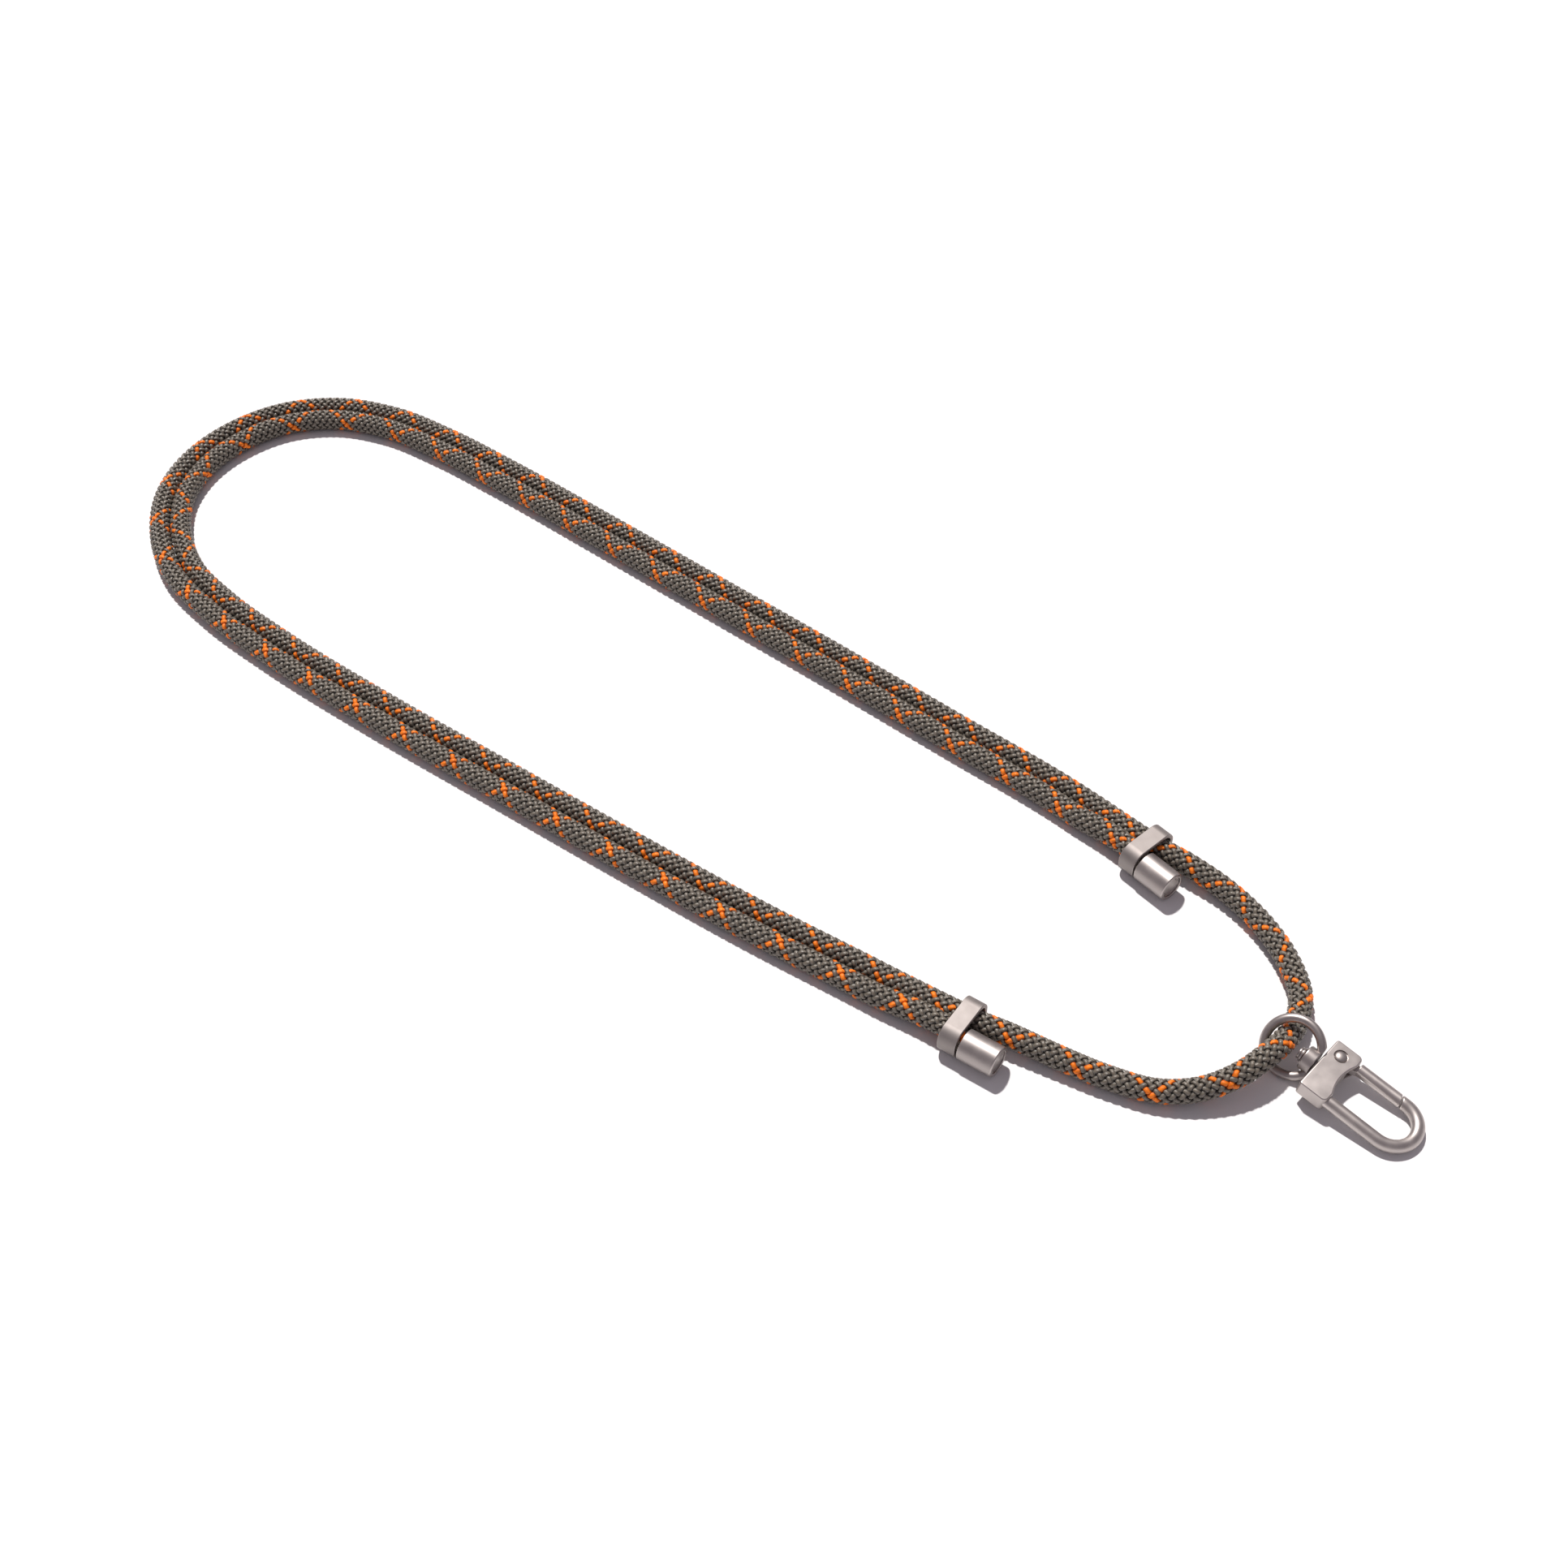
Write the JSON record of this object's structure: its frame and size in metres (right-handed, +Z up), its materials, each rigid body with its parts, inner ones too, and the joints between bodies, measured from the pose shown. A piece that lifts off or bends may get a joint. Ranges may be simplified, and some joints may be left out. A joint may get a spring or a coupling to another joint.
{
  "type": "phone crossbody strap",
  "caption": "Long round braided rope strap, doubled through slider bands and closed by end caps, with a swivel snap hook that clips to a phone case tether.",
  "frame": {"origin": "centre of the flat strap's footprint, on the surface that it lies on", "axes": "+X along the strap towards the hook, +Y across it towards band A, +Z up"},
  "size_m": [0.4689, 0.121, 0.0133],
  "materials": {
    "rope": "round braid of matt olive grey yarn with orange tracer yarns",
    "fittings": "satin nickel plate on cast and turned metal"
  },
  "bodies": {
    "strap": {"rope": "rope", "slider_band_a": "fittings", "slider_band_b": "fittings", "end_cap_a": "fittings", "end_cap_b": "fittings", "swivel_eye": "fittings"},
    "hook": {"hook_body": "fittings", "swivel_pin": "fittings", "gate_rivet": "fittings"},
    "gate": {"gate": "fittings"}
  },
  "joints": [
    {"name": "swivel", "type": "hinge", "parent": "strap", "child": "hook", "pos_m": [0.1938, 0.0065, 0.00667], "axis": [0.9892, -0.0796, -0.1232], "continuous": true},
    {"name": "gate_hinge", "type": "hinge", "parent": "hook", "child": "gate", "pos_m": [0.20551, 0.01098, 0.00526], "axis": [-0.1228, 0.0099, -0.9924], "range_deg": [0, 25], "stiffness_Nm_per_rad": 0.02, "springref_deg": -11.46}
  ]
}
